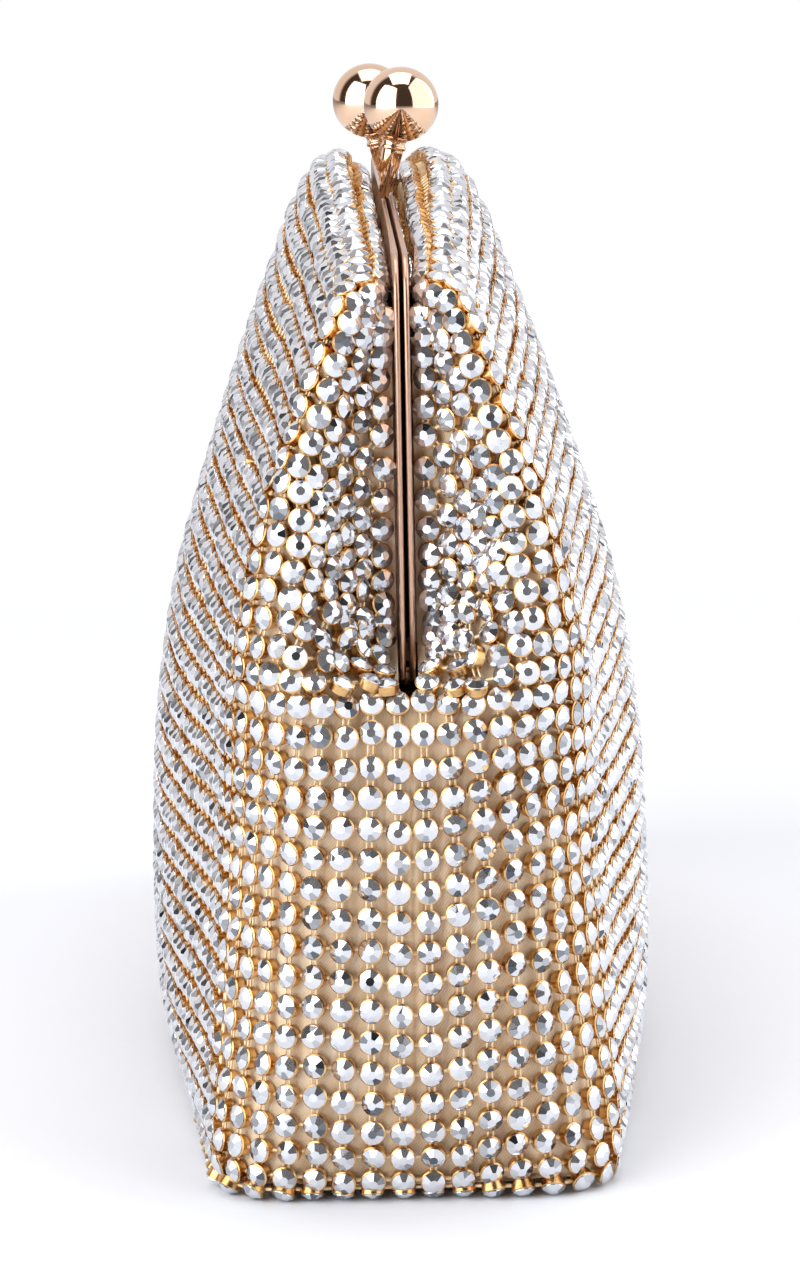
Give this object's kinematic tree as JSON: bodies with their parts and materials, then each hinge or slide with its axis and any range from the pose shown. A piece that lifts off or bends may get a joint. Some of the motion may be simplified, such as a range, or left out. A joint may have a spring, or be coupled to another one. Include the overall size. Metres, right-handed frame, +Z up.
{
  "type": "clutch bag",
  "caption": "Hard-framed evening clutch of stone mesh: a deep pouch, two puffed upper halves on hinged rose gold rails, and a crossed ball clasp on top.",
  "frame": {"origin": "middle of the base on the surface that the bag stands on", "axes": "+Z up, X along the bag's length and hinge axis, -Y towards the front half"},
  "size_m": [0.208, 0.072, 0.1435],
  "materials": {
    "stone_mesh": "foiled faceted stones in gold claw cups",
    "satin": "champagne satin",
    "lining_cloth": "champagne lining cloth",
    "board": "plain greyboard",
    "rose_gold": "polished rose gold plating",
    "rivet_metal": "polished rose gold plating"
  },
  "bodies": {
    "pouch": {"pouch_mesh": "stone_mesh", "pouch_backing": "satin", "base_board": "board", "pouch_lining": "lining_cloth", "slip_pocket": "lining_cloth", "front_fold": "stone_mesh", "rear_fold": "stone_mesh", "hinge_rivet_right": "rivet_metal", "hinge_rivet_left": "rivet_metal"},
    "front_half": {"front_rail": "rose_gold", "front_lobe_mesh": "stone_mesh", "front_lobe_backing": "satin", "front_lobe_lining": "lining_cloth", "front_stem": "rose_gold", "front_collar": "rose_gold", "front_ball": "rose_gold"},
    "rear_half": {"rear_rail": "rose_gold", "rear_lobe_mesh": "stone_mesh", "rear_lobe_backing": "satin", "rear_lobe_lining": "lining_cloth", "rear_stem": "rose_gold", "rear_collar": "rose_gold", "rear_ball": "rose_gold"}
  },
  "joints": [
    {"name": "front_hinge", "type": "hinge", "parent": "pouch", "child": "front_half", "pos_m": [0, 0, 0.068], "axis": [1, 0, 0], "range_deg": [0, 30], "deforming": ["front_fold"]},
    {"name": "rear_hinge", "type": "hinge", "parent": "pouch", "child": "rear_half", "pos_m": [0, 0, 0.068], "axis": [-1, 0, 0], "range_deg": [0, 30], "deforming": ["rear_fold"]}
  ],
  "couplings": [
    {"joint": "rear_hinge", "follows": "front_hinge", "ratio": 1}
  ]
}
